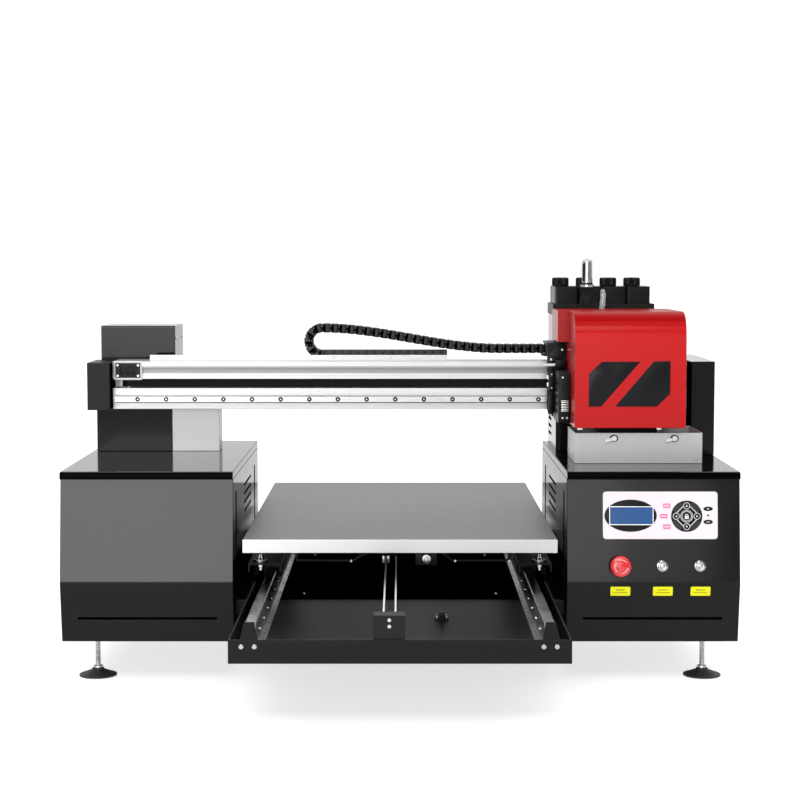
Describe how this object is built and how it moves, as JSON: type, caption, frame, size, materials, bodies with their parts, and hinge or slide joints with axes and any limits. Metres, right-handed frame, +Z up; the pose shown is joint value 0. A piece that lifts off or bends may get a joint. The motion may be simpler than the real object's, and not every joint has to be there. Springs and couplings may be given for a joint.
{
  "type": "flatbed uv printer",
  "caption": "Flatbed UV printer: two black cabinets, a fixed cross beam with a red-hooded print carriage, and a flat bed that slides on a lifting platform.",
  "frame": {"origin": "centre of the footprint, on the floor under the four feet; the print line crosses the bed here", "axes": "+X to the right as the operator faces the machine, along the beam; +Y to the back, along the bed travel; +Z up"},
  "size_m": [1.304, 1.302, 0.821],
  "materials": {
    "gloss_black": "gloss powder coat",
    "satin_black": "satin powder coat",
    "black_plastic": "moulded, fine grain",
    "red_paint": "gloss paint",
    "aluminium": "satin anodised",
    "bed_aluminium": "grey anodised top, milled edges",
    "steel": "ground",
    "chrome": "polished",
    "rubber": "matt",
    "white_belt": "satin",
    "white_panel": "printed film",
    "display": "lit screen",
    "red_plastic": "moulded"
  },
  "bodies": {
    "frame": {"left_cabinet": "gloss_black", "left_lid": "gloss_black", "left_upright": "gloss_black", "left_front_foot": "steel", "left_rear_foot": "steel", "left_lift_screw": "steel", "right_cabinet": "gloss_black", "right_lid": "gloss_black", "right_upright": "gloss_black", "right_front_foot": "steel", "right_rear_foot": "steel", "right_lift_screw": "steel", "left_end_cover": "satin_black", "right_end_cover": "gloss_black", "cross_beam": "aluminium", "beam_rail": "steel", "x_motor": "black_plastic", "x_belt": "rubber", "chain_lower_run": "black_plastic", "capping_tray": "aluminium", "cap_pad": "rubber", "ink_rack": "satin_black", "ink_filter": "chrome", "control_panel": "white_panel", "display": "display", "power_inlet": "black_plastic", "ink_tank_1": "black_plastic", "ink_cap_1": "black_plastic", "ink_tank_2": "black_plastic", "ink_cap_2": "black_plastic", "ink_tank_3": "black_plastic", "ink_cap_3": "black_plastic", "ink_tank_4": "black_plastic", "ink_cap_4": "black_plastic"},
    "platform": {"platform_tray": "satin_black", "left_bed_rail": "steel", "right_bed_rail": "steel", "left_lift_arm": "satin_black", "right_lift_arm": "satin_black", "tension_bracket": "satin_black", "y_motor": "black_plastic", "y_belt": "white_belt"},
    "bed": {"bed_plate": "bed_aluminium", "left_bed_slider": "satin_black", "right_bed_slider": "satin_black"},
    "carriage": {"carriage_plate": "satin_black", "carriage_hood": "red_paint", "print_head": "black_plastic", "uv_lamp": "satin_black", "chain_upper_run": "black_plastic"},
    "chain_bend": {"chain_bend": "black_plastic"},
    "x_drive_pulley": {"x_drive_pulley": "aluminium"},
    "x_idler_pulley": {"x_idler_pulley": "aluminium"},
    "y_drive_pulley": {"y_drive_pulley": "aluminium"},
    "y_idler_pulley": {"y_idler_pulley": "aluminium"},
    "emergency_stop": {"emergency_stop": "red_plastic"},
    "start_button": {"start_button": "steel"},
    "feed_button": {"feed_button": "steel"},
    "left_cap_latch": {"left_cap_latch": "chrome"},
    "right_cap_latch": {"right_cap_latch": "chrome"}
  },
  "joints": [
    {"name": "platform_lift", "type": "slide", "parent": "frame", "child": "platform", "axis": [0, 0, 1], "range_m": [0, 0.183]},
    {"name": "bed_slide", "type": "slide", "parent": "platform", "child": "bed", "axis": [0, 1, 0], "range_m": [-0.55, 0.3]},
    {"name": "carriage_slide", "type": "slide", "parent": "frame", "child": "carriage", "axis": [1, 0, 0], "range_m": [-0.84, 0], "deforming": ["chain_upper_run"]},
    {"name": "chain_bend_slide", "type": "slide", "parent": "frame", "child": "chain_bend", "axis": [1, 0, 0], "range_m": [-0.42, 0], "deforming": ["chain_lower_run"]},
    {"name": "x_drive_spin", "type": "hinge", "parent": "frame", "child": "x_drive_pulley", "pos_m": [-0.572, 0.081, 0.559], "axis": [0, 0, 1], "range_deg": [-3900, 3900]},
    {"name": "x_idler_spin", "type": "hinge", "parent": "frame", "child": "x_idler_pulley", "pos_m": [0.56, 0.081, 0.559], "axis": [0, 0, 1], "range_deg": [-3900, 3900]},
    {"name": "y_drive_spin", "type": "hinge", "parent": "platform", "child": "y_drive_pulley", "pos_m": [-0.0185, 0.615, 0.192], "axis": [0, 0, 1], "range_deg": [-3100, 3100]},
    {"name": "y_idler_spin", "type": "hinge", "parent": "platform", "child": "y_idler_pulley", "pos_m": [-0.0185, -0.625, 0.192], "axis": [0, 0, 1], "range_deg": [-3100, 3100]},
    {"name": "emergency_stop_push", "type": "slide", "parent": "frame", "child": "emergency_stop", "axis": [0, 0.994, -0.1093], "range_m": [0, 0.005]},
    {"name": "start_button_push", "type": "slide", "parent": "frame", "child": "start_button", "axis": [0, 0.994, -0.1093], "range_m": [0, 0.002], "stiffness_N_per_m": 300},
    {"name": "feed_button_push", "type": "slide", "parent": "frame", "child": "feed_button", "axis": [0, 0.994, -0.1093], "range_m": [0, 0.002], "stiffness_N_per_m": 300},
    {"name": "left_cap_latch_turn", "type": "hinge", "parent": "frame", "child": "left_cap_latch", "pos_m": [0.4255, -0.152, 0.4638], "axis": [0, 1, 0], "range_deg": [0, 90]},
    {"name": "right_cap_latch_turn", "type": "hinge", "parent": "frame", "child": "right_cap_latch", "pos_m": [0.546, -0.152, 0.4638], "axis": [0, 1, 0], "range_deg": [0, 90]}
  ],
  "couplings": [
    {"joint": "chain_bend_slide", "follows": "carriage_slide", "ratio": 0.5},
    {"joint": "x_drive_spin", "follows": "carriage_slide", "rad_per_m": 78.431},
    {"joint": "x_idler_spin", "follows": "carriage_slide", "rad_per_m": 78.431},
    {"joint": "y_drive_spin", "follows": "bed_slide", "rad_per_m": -95.238},
    {"joint": "y_idler_spin", "follows": "bed_slide", "rad_per_m": -95.238}
  ]
}
